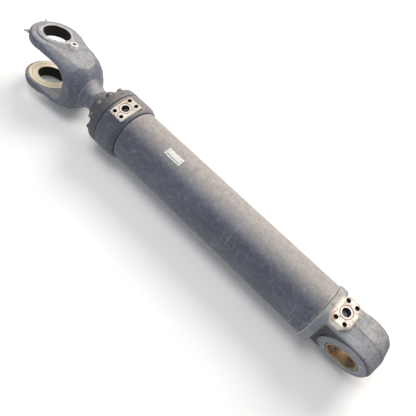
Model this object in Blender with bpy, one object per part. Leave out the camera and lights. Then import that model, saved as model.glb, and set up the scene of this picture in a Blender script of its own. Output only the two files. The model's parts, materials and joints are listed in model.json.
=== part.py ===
"""Double-acting hydraulic cylinder: welded barrel, bolted gland, rod with a fork end.

Lengths along the cylinder are measured from the centre of the base pin bore, in metres.
The barrel axis is parallel to +X and points to the rod end; both oil ports face +Z.
The rod carries the fork end, which rests turned about the barrel axis.
"""

import math

import bmesh
import bpy
from mathutils import Matrix, Vector

# Driving dimensions -----------------------------------------------------------------

PIN_TO_PIN = 1.269
STROKE = 0.705
CLEVIS_ANGLE = math.radians(69.0)
CLEARANCE = 0.0003
SEAL_GAP = 0.0004

BORE_R = 0.070
TUBE_R = 0.085
TUBE_START = 0.1203
TUBE_END = 0.8710
FLANGE_R = 0.0975
FLANGE_END = 0.9440

EYE_R = 0.080
EYE_HALF_WIDTH = 0.052
EYE_EDGE = 0.004
EYE_DRAFT = 0.006
BOSS_R = 0.073
BOSS_HALF_WIDTH = 0.057
EYE_BORE_R = 0.0475
PIN_R = 0.0427
RING_R = 0.090
RING_START = 0.093
CAP_FACE = 0.100
NUT_ROOM_START = 0.0722
NUT_ROOM_R = 0.045
PASSAGE_Z = 0.058
PASSAGE_R = 0.009

PORT_R = 0.0125
PORT_BOLT_R = 0.006
PORT_BOLT_X = 0.02776 / 2
PORT_BOLT_Y = 0.05715 / 2
PORT_BOLT_DEPTH = 0.014
BASE_PORT_X = 0.0775
BASE_PORT_TOP = 0.1035
BASE_PORT_SEAT = 0.0780
BASE_PORT_SIZE = (0.064, 0.086)
BASE_PORT_CORNER = 0.018
HEAD_PORT_X = 0.9070
HEAD_PORT_TOP = 0.0980
HEAD_PORT_SEAT = 0.0820
HEAD_PORT_SIZE = (0.052, 0.080)
HEAD_PORT_CORNER = 0.007

ROD_R = 0.040
SPIGOT_R = 0.030
SPIGOT_START = 0.0755
ROD_END = 1.0400
GLAND_START = 0.9220
# At full stroke the rod's shoulder stops 2 mm short of the gland.
ROD_SHOULDER = GLAND_START - 0.002 - STROKE
PISTON_START = 0.1010
PISTON_END = 0.1810
NUT_R = 0.0416
NUT_SCREW_R = 0.0040
CUSHION_R = 0.050

GLAND_FACE = 0.9760
GLAND_END = 1.0190
HUB_R = 0.0575
GLAND_ROUND = 0.0065
# Each groove in the gland: where it starts and ends, and the radius of its floor.
GUIDE_GROOVE = (0.9260, 0.9660, 0.0445)
BUFFER_GROOVE = (0.9740, 0.9820, 0.0480)
CUP_GROOVE = (0.9900, 1.0020, 0.0500)
WIPER_GROOVE = (1.0080, GLAND_END, 0.0500)
O_RING_GROOVE = (0.9260, 0.9360, 0.0660)
BOLT_COUNT = 12
BOLT_CIRCLE_R = 0.080
BOLT_FIRST_ANGLE = math.radians(-3.0)
BOLT_R = 0.007
BOLT_HEAD_R = 0.0105
BOLT_HEAD_HEIGHT = 0.014
BOLT_TIP = 0.9345
BOLT_SOCKET_R = 0.0069
BOLT_SOCKET_DEPTH = 0.007

EAR_R = 0.082
EAR_INNER = 0.0595
EAR_OUTER = 0.0972
EAR_WEB_INNER = 0.0615
EAR_WEB_OUTER = 0.0930
EAR_RING_R = 0.0715
EAR_PAD_R = 0.0595
EAR_ROUND = 0.014
YOKE_FLOOR = 1.1360
YOKE_CORNER_R = 0.044
YOKE_REACH = 1.2450
LOCK_CENTRE = (1.1920, 0.0, -0.003)
LOCK_R = 0.0128
LOCK_DEPTH = 0.010
LOCK_TOP = 0.1090
TIP_NIPPLE_ANGLE = math.radians(48)
TIP_NIPPLE_Y = -0.0775
SIDE_NIPPLE_ANGLE = math.radians(-12)
NIPPLE_POCKET_R = 0.0085
NIPPLE_POCKET_DEPTH = 0.009

PLATE_X = (0.670, 0.728)
PLATE_ARC = (math.radians(-8.0), math.radians(9.0))
PLATE_THICKNESS = 0.001
RIVET_INSET_X = 0.0045
RIVET_INSET_ANGLE = math.radians(2.6)

# The model's origin is the middle of the underside of the whole object's box.
BASE_PIN_X = -(PIN_TO_PIN + EAR_R - EYE_R - EYE_DRAFT) / 2
AXIS_Z = ((EAR_WEB_OUTER - EAR_ROUND) * math.sin(CLEVIS_ANGLE)
          + (EAR_R - EAR_ROUND) * math.cos(CLEVIS_ANGLE) + EAR_ROUND)

SEGMENTS_LARGE = 48
SEGMENTS = 40
SEGMENTS_SMALL = 12
# How far a cutting tool runs past the surface that it cuts.
OVERRUN = 0.010

MATERIALS = {
    "cylinder_paint": ((0.115, 0.125, 0.145), 0.45, 0.0),
    "clevis_paint": ((0.120, 0.130, 0.150), 0.50, 0.0),
    "machined_steel": ((0.62, 0.58, 0.50), 0.40, 1.0),
    "bolt_steel": ((0.12, 0.13, 0.15), 0.45, 0.2),
    "rod_chrome": ((0.70, 0.70, 0.72), 0.12, 1.0),
    "cast_iron": ((0.20, 0.20, 0.21), 0.55, 0.8),
    "bronze": ((0.55, 0.34, 0.12), 0.40, 1.0),
    "seal_rubber": ((0.02, 0.02, 0.02), 0.60, 0.0),
    "seal_plastic": ((0.30, 0.16, 0.08), 0.50, 0.0),
    "plate_metal": ((0.75, 0.75, 0.74), 0.35, 1.0),
}

# Building tools ---------------------------------------------------------------------


def clear_scene():
    for item in list(bpy.data.objects):
        bpy.data.objects.remove(item, do_unlink=True)


def material(name):
    found = bpy.data.materials.get(name)
    if found:
        return found
    colour, roughness, metallic = MATERIALS[name]
    made = bpy.data.materials.new(name)
    made.use_nodes = True
    shader = made.node_tree.nodes["Principled BSDF"]
    shader.inputs["Base Color"].default_value = (*colour, 1.0)
    shader.inputs["Roughness"].default_value = roughness
    shader.inputs["Metallic"].default_value = metallic
    return made


def add_empty(name, location, rotation=(0.0, 0.0, 0.0)):
    empty = bpy.data.objects.new(name, None)
    empty.location = location
    empty.rotation_euler = rotation
    bpy.context.collection.objects.link(empty)
    return empty


def add_mesh(name, mesh, parent, material_name):
    item = bpy.data.objects.new(name, mesh)
    bpy.context.collection.objects.link(item)
    item.parent = parent
    if material_name and not mesh.materials:
        mesh.materials.append(material(material_name))
    return item


def finish_mesh(name, bm):
    bmesh.ops.recalc_face_normals(bm, faces=bm.faces)
    mesh = bpy.data.meshes.new(name)
    bm.to_mesh(mesh)
    bm.free()
    mesh.shade_smooth()
    mesh.set_sharp_from_angle(angle=math.radians(35))
    return mesh


def turned_mesh(name, profile, segments=SEGMENTS, axis="X"):
    """Spin a closed (distance along the axis, radius) outline once, leaving out edges on the axis."""
    place = {"X": lambda a, r: (a, 0.0, r), "Y": lambda a, r: (r, a, 0.0)}[axis]
    direction = {"X": (1, 0, 0), "Y": (0, 1, 0)}[axis]
    bm = bmesh.new()
    ring = [bm.verts.new(place(a, r)) for a, r in profile]
    edges = []
    for i, (_, radius) in enumerate(profile):
        if max(profile[i - 1][1], radius) > 0:
            edges.append(bm.edges.new((ring[i - 1], ring[i])))
    bmesh.ops.spin(bm, geom=ring + edges, axis=direction, cent=(0, 0, 0), angle=2 * math.pi,
                   steps=segments, use_merge=True)
    bmesh.ops.remove_doubles(bm, verts=bm.verts, dist=1e-6)
    return finish_mesh(name, bm)


def ring_profile(start, end, inner, outer):
    return [(start, inner), (start, outer), (end, outer), (end, inner)]


def disc_profile(points):
    """Close an outline that starts and ends on the axis."""
    return [(points[0][0], 0.0)] + points + [(points[-1][0], 0.0)]


def extruded_mesh(name, outline, direction, low, high):
    """Extrude a flat outline of (x, other) points along Y or Z, from low to high."""
    place = {"Y": lambda u, v, d: (u, d, v), "Z": lambda u, v, d: (u, v, d)}[direction]
    bm = bmesh.new()
    face = bm.faces.new([bm.verts.new(place(u, v, low)) for u, v in outline])
    made = bmesh.ops.extrude_face_region(bm, geom=[face])
    moved = [v for v in made["geom"] if isinstance(v, bmesh.types.BMVert)]
    bmesh.ops.translate(bm, verts=moved, vec=place(0, 0, high - low))
    return finish_mesh(name, bm)


def rod_mesh(name, start, end, radius, segments=SEGMENTS_SMALL):
    """A plain round bar between two points."""
    start, end = Vector(start), Vector(end)
    bm = bmesh.new()
    turn = (end - start).to_track_quat("Z", "Y").to_matrix().to_4x4()
    bmesh.ops.create_cone(bm, cap_ends=True, segments=segments, radius1=radius, radius2=radius,
                          depth=(end - start).length, matrix=Matrix.Translation((start + end) / 2) @ turn)
    return finish_mesh(name, bm)


def arc(centre, radius, first, last, steps):
    """Points on a circle, with angles in degrees."""
    angles = [math.radians(first + (last - first) * i / steps) for i in range(steps + 1)]
    return [(centre[0] + radius * math.cos(a), centre[1] + radius * math.sin(a)) for a in angles]


def combine(item, mesh, operation="DIFFERENCE"):
    """Cut a mesh from an object, or join or intersect it, with a Boolean modifier."""
    tool = add_mesh(mesh.name, mesh, item.parent, None)
    tool.hide_render = True
    tool.display_type = "WIRE"
    change = item.modifiers.new(mesh.name, "BOOLEAN")
    change.operation = operation
    change.solver = "EXACT"
    change.object = tool


def chamfered_outline(size_x, size_y, chamfer, rounded):
    """A rectangle about the origin whose corners are cut, or rounded in small steps."""
    x, y = size_x / 2, size_y / 2
    if not rounded:
        return [(x - chamfer, -y), (x, -y + chamfer), (x, y - chamfer), (x - chamfer, y),
                (-x + chamfer, y), (-x, y - chamfer), (-x, -y + chamfer), (-x + chamfer, -y)]
    corners = [(x, -y, -90), (x, y, 0), (-x, y, 90), (-x, -y, 180)]
    points = []
    for cx, cy, first in corners:
        centre = (cx - math.copysign(chamfer, cx), cy - math.copysign(chamfer, cy))
        points += arc(centre, chamfer, first, first + 90, 4)
    return points


# Barrel -----------------------------------------------------------------------------


def web_mesh(name):
    """The forged block between the eye and the ring, widest in the middle of its thickness."""
    sections = [(-EYE_HALF_WIDTH, -EYE_EDGE), (EYE_EDGE - EYE_HALF_WIDTH, 0.0), (0.0, EYE_DRAFT)]
    sections += [(-y, extra) for y, extra in reversed(sections[:2])]
    ends = ((0.0, EYE_R), (RING_START + 0.004, EYE_R - 0.0025))
    bm = bmesh.new()
    loops = []
    for y, extra in sections:
        corners = [(x, y, half + extra) for x, half in ends]
        corners += [(x, y, -z) for x, y, z in reversed(corners)]
        loops.append([bm.verts.new(corner) for corner in corners])
    bm.faces.new(loops[0])
    bm.faces.new(loops[-1])
    for first, second in zip(loops, loops[1:]):
        for i in range(4):
            bm.faces.new((first[i - 1], first[i], second[i], second[i - 1]))
    return finish_mesh(name, bm)


def make_base_cap(parent):
    half_eye = [(-BOSS_HALF_WIDTH, BOSS_R), (-EYE_HALF_WIDTH, BOSS_R),
                (-EYE_HALF_WIDTH, EYE_R - EYE_EDGE), (EYE_EDGE - EYE_HALF_WIDTH, EYE_R)]
    eye = half_eye + [(0.0, EYE_R + EYE_DRAFT)] + [(-a, r) for a, r in reversed(half_eye)]
    cap = add_mesh("base_cap", turned_mesh("base_cap", disc_profile(eye), SEGMENTS, "Y"), parent,
                   "cylinder_paint")
    combine(cap, web_mesh("cap_web"), "UNION")
    ring = disc_profile([(RING_START, RING_R - 0.003), (RING_START + 0.003, RING_R),
                         (TUBE_START - 0.001, RING_R), (TUBE_START, RING_R - 0.001)])
    combine(cap, turned_mesh("cap_ring", ring, SEGMENTS_LARGE), "UNION")
    seat_x, seat_y = BASE_PORT_SIZE
    seat = chamfered_outline(seat_x + 2 * CLEARANCE, seat_y + 2 * CLEARANCE, BASE_PORT_CORNER, False)
    seat = [(x + BASE_PORT_X, y) for x, y in seat]
    top = BASE_PORT_TOP + OVERRUN
    combine(cap, extruded_mesh("base_port_seat", seat, "Z", BASE_PORT_SEAT, top))
    hollow = disc_profile([(NUT_ROOM_START, NUT_ROOM_R), (CAP_FACE, NUT_ROOM_R), (CAP_FACE, BORE_R),
                           (TUBE_START + OVERRUN, BORE_R)])
    combine(cap, turned_mesh("cap_hollow", hollow, SEGMENTS))
    combine(cap, rod_mesh("base_port_drilling", (BASE_PORT_X, 0, PASSAGE_Z - PASSAGE_R),
                          (BASE_PORT_X, 0, top), PORT_R, 24))
    combine(cap, rod_mesh("base_port_crossing", (BASE_PORT_X, 0, PASSAGE_Z),
                          (CAP_FACE + OVERRUN, 0, PASSAGE_Z), PASSAGE_R))
    end = BOSS_HALF_WIDTH + OVERRUN
    combine(cap, rod_mesh("eye_bore", (0, -end, 0), (0, end, 0), EYE_BORE_R, SEGMENTS))


def make_base_bearing(parent):
    half = BOSS_HALF_WIDTH - 0.0005
    bush = ring_profile(-half, half, PIN_R, EYE_BORE_R - CLEARANCE)
    add_mesh("base_bushing", turned_mesh("base_bushing", bush, SEGMENTS, "Y"), parent, "bronze")


def make_port_block(name, parent, centre_x, seat, top, size, corner, rounded):
    outline = [(x + centre_x, y) for x, y in chamfered_outline(*size, corner, rounded)]
    block = add_mesh(name, extruded_mesh(name, outline, "Z", seat + CLEARANCE, top), parent,
                     "machined_steel")
    combine(block, rod_mesh(name + "_bore", (centre_x, 0, seat - OVERRUN),
                            (centre_x, 0, top + OVERRUN), PORT_R, 24))
    for side_x in (-1, 1):
        for side_y in (-1, 1):
            x, y = centre_x + side_x * PORT_BOLT_X, side_y * PORT_BOLT_Y
            combine(block, rod_mesh(name + "_tapping", (x, y, top - PORT_BOLT_DEPTH),
                                    (x, y, top + OVERRUN), PORT_BOLT_R))


def make_tube(parent):
    start, end = TUBE_START + CLEARANCE, TUBE_END - CLEARANCE
    tube = ring_profile(start, end, BORE_R, TUBE_R)
    add_mesh("barrel_tube", turned_mesh("barrel_tube", tube, SEGMENTS_LARGE), parent, "cylinder_paint")


def bolt_centre(index):
    angle = BOLT_FIRST_ANGLE + 2 * math.pi * index / BOLT_COUNT
    return BOLT_CIRCLE_R * math.sin(angle), BOLT_CIRCLE_R * math.cos(angle)


def make_head_flange(parent):
    end = FLANGE_END - CLEARANCE
    outline = [(TUBE_END, BORE_R), (TUBE_END, 0.0870), (0.8740, 0.0905), (0.8800, 0.0945),
               (0.8880, 0.0970), (0.8960, FLANGE_R), (end, FLANGE_R), (end, BORE_R)]
    flange = add_mesh("head_flange", turned_mesh("head_flange", outline, SEGMENTS_LARGE), parent,
                      "cylinder_paint")
    size_x, size_y = HEAD_PORT_SIZE
    seat = chamfered_outline(size_x + 2 * CLEARANCE, size_y + 2 * CLEARANCE,
                             HEAD_PORT_CORNER + CLEARANCE, True)
    seat = [(x + HEAD_PORT_X, y) for x, y in seat]
    top = HEAD_PORT_TOP + OVERRUN
    combine(flange, extruded_mesh("head_port_seat", seat, "Z", HEAD_PORT_SEAT, top))
    combine(flange, rod_mesh("head_port_drilling", (HEAD_PORT_X, 0, BORE_R - OVERRUN),
                             (HEAD_PORT_X, 0, top), PORT_R, 24))
    for index in range(BOLT_COUNT):
        y, z = bolt_centre(index)
        combine(flange, rod_mesh("flange_tapping", (BOLT_TIP - 2 * CLEARANCE, y, z),
                                 (FLANGE_END + OVERRUN, y, z), BOLT_R + 0.0004))


def make_gland(parent):
    spigot_r = BORE_R - CLEARANCE
    bore = ROD_R + 0.0006
    start, end, floor = O_RING_GROOVE
    outside = [(GLAND_START, spigot_r), (start, spigot_r), (start, floor), (end, floor),
               (end, spigot_r), (FLANGE_END, spigot_r), (FLANGE_END, FLANGE_R)]
    outside += arc((GLAND_FACE - GLAND_ROUND, FLANGE_R - GLAND_ROUND), GLAND_ROUND, 90, 0, 3)
    outside += [(GLAND_FACE, 0.0680), (0.9790, 0.0620), (0.9860, HUB_R),
                (GLAND_END - 0.004, HUB_R), (GLAND_END, HUB_R - 0.004)]
    inside = [(GLAND_END, WIPER_GROOVE[2]), (WIPER_GROOVE[0], WIPER_GROOVE[2]), (WIPER_GROOVE[0], bore)]
    for start, end, floor in (CUP_GROOVE, BUFFER_GROOVE, GUIDE_GROOVE):
        inside += [(end, bore), (end, floor), (start, floor), (start, bore)]
    inside.append((GLAND_START, bore))
    gland = add_mesh("gland", turned_mesh("gland", outside + inside, SEGMENTS_LARGE), parent,
                     "cylinder_paint")
    for index in range(BOLT_COUNT):
        y, z = bolt_centre(index)
        combine(gland, rod_mesh("gland_clearance_hole", (FLANGE_END - OVERRUN, y, z),
                                (GLAND_FACE + OVERRUN, y, z), BOLT_R + 0.0006))


def bolt_mesh():
    """A socket head cap screw along +X, with its head's underside at x = 0."""
    shank = GLAND_FACE - BOLT_TIP
    outline = disc_profile([(-shank, BOLT_R), (CLEARANCE, BOLT_R), (CLEARANCE, BOLT_HEAD_R),
                            (BOLT_HEAD_HEIGHT, BOLT_HEAD_R)])
    blank = turned_mesh("bolt_blank", outline, SEGMENTS_SMALL)
    body = add_mesh("bolt_blank", blank, None, "bolt_steel")
    combine(body, rod_mesh("bolt_socket", (BOLT_HEAD_HEIGHT - BOLT_SOCKET_DEPTH, 0, 0),
                           (BOLT_HEAD_HEIGHT + OVERRUN, 0, 0), BOLT_SOCKET_R, 6))
    bpy.context.view_layer.update()
    finished = body.evaluated_get(bpy.context.evaluated_depsgraph_get())
    mesh = bpy.data.meshes.new_from_object(finished)
    mesh.name = "gland_bolt"
    for item in (body.modifiers[0].object, body):
        bpy.data.objects.remove(item, do_unlink=True)
    return mesh


def make_gland_bolts(parent):
    mesh = bolt_mesh()
    for index in range(BOLT_COUNT):
        bolt = add_mesh(f"gland_bolt_{index + 1:02d}", mesh, parent, "bolt_steel")
        bolt.location = (GLAND_FACE, *bolt_centre(index))


def make_gland_seals(parent):
    inner_rings = (("rod_guide_bush", GUIDE_GROOVE, "bronze"),
                   ("rod_buffer_seal", BUFFER_GROOVE, "seal_plastic"),
                   ("rod_u_cup", CUP_GROOVE, "seal_rubber"),
                   ("rod_wiper", WIPER_GROOVE, "seal_rubber"))
    for name, (start, end, floor), slot in inner_rings:
        ring = ring_profile(start + CLEARANCE, end - CLEARANCE, ROD_R + SEAL_GAP, floor - CLEARANCE)
        add_mesh(name, turned_mesh(name, ring), parent, slot)
    start, end, floor = O_RING_GROOVE
    backup_start = end - 0.0032
    outer_rings = (("gland_o_ring", start + CLEARANCE, backup_start - SEAL_GAP, "seal_rubber"),
                   ("gland_backup_ring", backup_start, end - CLEARANCE, "seal_plastic"))
    for name, low, high, slot in outer_rings:
        ring = ring_profile(low, high, floor + CLEARANCE, BORE_R - SEAL_GAP)
        add_mesh(name, turned_mesh(name, ring), parent, slot)


def make_name_plate(parent):
    low = TUBE_R + CLEARANCE
    high = low + PLATE_THICKNESS
    first, last = (90 - math.degrees(a) for a in reversed(PLATE_ARC))
    rim = arc((0, 0), high, first, last, 6) + arc((0, 0), low, last, first, 6)
    bm = bmesh.new()
    face = bm.faces.new([bm.verts.new((PLATE_X[0], y, z)) for y, z in rim])
    made = bmesh.ops.extrude_face_region(bm, geom=[face])
    moved = [v for v in made["geom"] if isinstance(v, bmesh.types.BMVert)]
    bmesh.ops.translate(bm, verts=moved, vec=(PLATE_X[1] - PLATE_X[0], 0, 0))
    plate = add_mesh("name_plate", finish_mesh("name_plate", bm), parent, "plate_metal")
    stem = disc_profile([(low + CLEARANCE, 0.0012), (high + CLEARANCE, 0.0012),
                         (high + CLEARANCE, 0.0024), (high + 0.0009, 0.0021), (high + 0.0013, 0.0012)])
    rivet_mesh = turned_mesh("plate_rivet", stem, SEGMENTS_SMALL)
    corners = [(x, a) for x in (PLATE_X[0] + RIVET_INSET_X, PLATE_X[1] - RIVET_INSET_X)
               for a in (PLATE_ARC[0] + RIVET_INSET_ANGLE, PLATE_ARC[1] - RIVET_INSET_ANGLE)]
    for index, (x, angle) in enumerate(corners):
        out = Vector((0, math.sin(angle), math.cos(angle)))
        hole = rod_mesh("rivet_hole", Vector((x, 0, 0)) + out * (low - 0.002),
                        Vector((x, 0, 0)) + out * (high + 0.002), 0.0016, 8)
        combine(plate, hole)
        rivet = add_mesh(f"plate_rivet_{index + 1}", rivet_mesh, parent, "machined_steel")
        rivet.location = (x, 0, 0)
        rivet.rotation_euler = out.to_track_quat("X", "Y").to_euler()


# Rod --------------------------------------------------------------------------------


def make_rod(parent):
    outline = disc_profile([(SPIGOT_START, SPIGOT_R - 0.002), (SPIGOT_START + 0.002, SPIGOT_R),
                            (ROD_SHOULDER, SPIGOT_R), (ROD_SHOULDER, ROD_R - 0.001),
                            (ROD_SHOULDER + 0.001, ROD_R), (ROD_END - CLEARANCE, ROD_R)])
    add_mesh("piston_rod", turned_mesh("piston_rod", outline), parent, "rod_chrome")


def make_piston(parent):
    outer = BORE_R - 0.0006
    inner = SPIGOT_R + CLEARANCE
    centre = (PISTON_START + PISTON_END) / 2
    grooves = ((centre - 0.029, 0.012, 0.0660), (centre - 0.008, 0.016, 0.0600),
               (centre + 0.017, 0.012, 0.0660))
    outline = [(PISTON_START, inner), (PISTON_START, outer - 0.004), (PISTON_START + 0.004, outer)]
    for start, width, floor in grooves:
        outline += [(start, outer), (start, floor), (start + width, floor), (start + width, outer)]
    outline += [(PISTON_END - 0.004, outer), (PISTON_END, outer - 0.004), (PISTON_END, inner),
                (centre + 0.004, inner), (centre + 0.004, inner + 0.0035),
                (centre - 0.002, inner + 0.0035), (centre - 0.002, inner)]
    add_mesh("piston", turned_mesh("piston", outline), parent, "cast_iron")
    o_ring = ring_profile(centre - 0.0017, centre + 0.0037, inner + 0.0001, inner + 0.0032)
    add_mesh("piston_o_ring", turned_mesh("piston_o_ring", o_ring, 32), parent, "seal_rubber")
    return grooves


def make_piston_rings(parent, grooves):
    names = ("piston_wear_ring_rear", "piston_seal", "piston_wear_ring_front")
    for name, (start, width, floor) in zip(names, grooves):
        ring = ring_profile(start + CLEARANCE, start + width - CLEARANCE, floor + CLEARANCE,
                            BORE_R - SEAL_GAP)
        add_mesh(name, turned_mesh(name, ring), parent, "seal_plastic")


def make_piston_nut(parent):
    start, end = SPIGOT_START + 0.0005, PISTON_START - CLEARANCE
    middle = (start + end) / 2
    nut = add_mesh("piston_nut", rod_mesh("piston_nut", (start, 0, 0), (end, 0, 0), NUT_R, 6), parent,
                   "machined_steel")
    combine(nut, rod_mesh("nut_thread", (start - OVERRUN, 0, 0), (end + OVERRUN, 0, 0),
                          SPIGOT_R + CLEARANCE, SEGMENTS))
    combine(nut, rod_mesh("nut_screw_hole", (middle, 0, SPIGOT_R - OVERRUN),
                          (middle, 0, NUT_R + OVERRUN), NUT_SCREW_R + SEAL_GAP))
    add_mesh("nut_lock_screw", rod_mesh("nut_lock_screw", (middle, 0, SPIGOT_R + CLEARANCE),
                                        (middle, 0, 0.0350), NUT_SCREW_R), parent, "bolt_steel")


def make_cushion_sleeve(parent):
    start, end, inner = PISTON_END + CLEARANCE, ROD_SHOULDER - CLEARANCE, SPIGOT_R + CLEARANCE
    sleeve = [(start, inner), (start, CUSHION_R), (end - 0.005, CUSHION_R), (end, CUSHION_R - 0.003),
              (end, inner)]
    add_mesh("cushion_sleeve", turned_mesh("cushion_sleeve", sleeve), parent, "machined_steel")


def make_ear(name, side):
    """One eye of the fork, turned about the pin axis, with its outer rim rounded."""
    outline = [(EAR_INNER, EAR_RING_R), (EAR_WEB_INNER, EAR_RING_R), (EAR_WEB_INNER, EAR_R - 0.003),
               (EAR_WEB_INNER + 0.003, EAR_R)]
    outline += [(a, r) for r, a in arc((EAR_R - EAR_ROUND, EAR_WEB_OUTER - EAR_ROUND), EAR_ROUND, 0, 90, 4)]
    outline += [(EAR_WEB_OUTER, EAR_PAD_R), (EAR_OUTER - 0.001, EAR_PAD_R), (EAR_OUTER, EAR_PAD_R - 0.001)]
    outline = [(side * a, r) for a, r in outline]
    mesh = turned_mesh(name, disc_profile(outline), SEGMENTS, "Y")
    mesh.transform(Matrix.Translation((PIN_TO_PIN, 0, 0)))
    return mesh


def make_clevis(parent):
    """The fork end: two eyes, a yoke with a rounded floor and a neck that flares out."""
    side = [(ROD_END, 0.060), (1.1100, 0.078), (1.1400, 0.0880), (1.1700, EAR_WEB_OUTER - 0.0002),
            (YOKE_REACH, EAR_WEB_OUTER - 0.0002), (YOKE_REACH, EAR_WEB_INNER + 0.0002)]
    corner = (YOKE_FLOOR + YOKE_CORNER_R, EAR_WEB_INNER + 0.0002 - YOKE_CORNER_R)
    side += arc(corner, YOKE_CORNER_R, 90, 180, 6)
    side += [(x, -y) for x, y in reversed(side)]
    clevis = add_mesh("clevis", extruded_mesh("clevis", side, "Z", -0.12, 0.12), parent, "clevis_paint")
    half = [(ROD_END, 0.0700), (1.1300, 0.0720), (1.1750, 0.0740), (1.2100, 0.0745),
            (YOKE_REACH + OVERRUN, 0.0775)]
    width = half + [(x, -z) for x, z in reversed(half)]
    combine(clevis, extruded_mesh("yoke_width", width, "Y", -0.12, 0.12), "INTERSECT")
    neck = disc_profile([(ROD_END, 0.0395), (1.0580, 0.0400), (1.0720, 0.0450), (1.0850, 0.0530),
                         (1.1020, 0.0700), (1.1200, 0.0860), (1.1420, 0.0970), (1.1700, 0.1035),
                         (1.2100, 0.1070), (1.2350, 0.1130), (1.2700, 0.1250)])
    combine(clevis, turned_mesh("yoke_neck", neck, SEGMENTS), "INTERSECT")
    for side_sign, name in ((-1, "upper_ear"), (1, "lower_ear")):
        combine(clevis, make_ear(name, side_sign), "UNION")
    return clevis


def bore_clevis(clevis):
    end = EAR_OUTER + OVERRUN
    bore = rod_mesh("fork_bore", (PIN_TO_PIN, -end, 0), (PIN_TO_PIN, end, 0), PIN_R, SEGMENTS)
    combine(clevis, bore)


def make_pin_lock(parent, clevis):
    centre = Vector(LOCK_CENTRE)
    seat = LOCK_DEPTH - EAR_WEB_OUTER
    combine(clevis, rod_mesh("lock_hole", centre + Vector((0, seat, 0)),
                             centre - Vector((0, LOCK_TOP + OVERRUN, 0)), LOCK_R, 24))
    sleeve = ring_profile(-LOCK_TOP, seat - CLEARANCE, 0.0055, LOCK_R - 0.0005)
    mesh = turned_mesh("pin_lock_sleeve", sleeve, 24, "Y")
    item = add_mesh("pin_lock_sleeve", mesh, parent, "machined_steel")
    item.location = centre


def nipple_mesh():
    """A grease nipple along +X, with its threaded stem below x = 0."""
    outline = disc_profile([(-0.007, 0.0030), (0.0003, 0.0030), (0.0003, 0.0055), (0.0050, 0.0055),
                            (0.0055, 0.0036), (0.0095, 0.0033), (0.0110, 0.0020), (0.0125, 0.0030),
                            (0.0142, 0.0028), (0.0155, 0.0015)])
    return turned_mesh("grease_nipple", outline, SEGMENTS_SMALL)


def make_nipples(parent, clevis):
    mesh = nipple_mesh()
    tip_out = Vector((math.cos(TIP_NIPPLE_ANGLE), 0, math.sin(TIP_NIPPLE_ANGLE)))
    tip = Vector((PIN_TO_PIN, TIP_NIPPLE_Y, 0)) + tip_out * (EAR_R - 0.0002)
    rim = Vector((math.cos(SIDE_NIPPLE_ANGLE), 0, math.sin(SIDE_NIPPLE_ANGLE)))
    side_out = (rim + Vector((0, -1, 0))).normalized()
    centre = Vector((PIN_TO_PIN, -(EAR_WEB_OUTER - EAR_ROUND), 0)) + rim * (EAR_R - EAR_ROUND)
    pocket_floor = centre + side_out * (EAR_ROUND - NIPPLE_POCKET_DEPTH)
    pocket_end = pocket_floor + side_out * (NIPPLE_POCKET_DEPTH + OVERRUN)
    combine(clevis, rod_mesh("nipple_pocket", pocket_floor, pocket_end, NIPPLE_POCKET_R, 16))
    places = (("clevis_nipple_tip", tip, tip_out), ("clevis_nipple_side", pocket_floor, side_out))
    for name, seat, out in places:
        combine(clevis, rod_mesh(name + "_hole", seat - out * 0.0076, seat + out * 0.001, 0.0034))
        nipple = add_mesh(name, mesh, parent, "machined_steel")
        nipple.location = seat
        nipple.rotation_euler = out.to_track_quat("X", "Z").to_euler()


def main():
    clear_scene()
    barrel = add_empty("barrel_frame", (BASE_PIN_X, 0, AXIS_Z))
    rod = add_empty("rod_frame", (BASE_PIN_X, 0, AXIS_Z), (-CLEVIS_ANGLE, 0, 0))

    make_base_cap(barrel)
    make_base_bearing(barrel)
    make_port_block("port_block_base", barrel, BASE_PORT_X, BASE_PORT_SEAT, BASE_PORT_TOP,
                    BASE_PORT_SIZE, BASE_PORT_CORNER, False)
    make_tube(barrel)
    make_head_flange(barrel)
    make_port_block("port_block_head", barrel, HEAD_PORT_X, HEAD_PORT_SEAT, HEAD_PORT_TOP,
                    HEAD_PORT_SIZE, HEAD_PORT_CORNER, True)
    make_gland(barrel)
    make_gland_bolts(barrel)
    make_gland_seals(barrel)
    make_name_plate(barrel)

    make_rod(rod)
    grooves = make_piston(rod)
    make_piston_rings(barrel, grooves)
    make_piston_nut(rod)
    make_cushion_sleeve(rod)
    clevis = make_clevis(rod)
    make_pin_lock(rod, clevis)
    make_nipples(rod, clevis)
    bore_clevis(clevis)


main()
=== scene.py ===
"""The looks of the hydraulic cylinder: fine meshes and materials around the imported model.

Lengths are metres. `x_at` counts along the cylinder from the base pin, as the design does.
The fork has its own frame, FORK: x along the rod, y along the pin axis, z across both.
"""

import json
import math

import bmesh
import bpy
from mathutils import Matrix, Vector, noise


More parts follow.
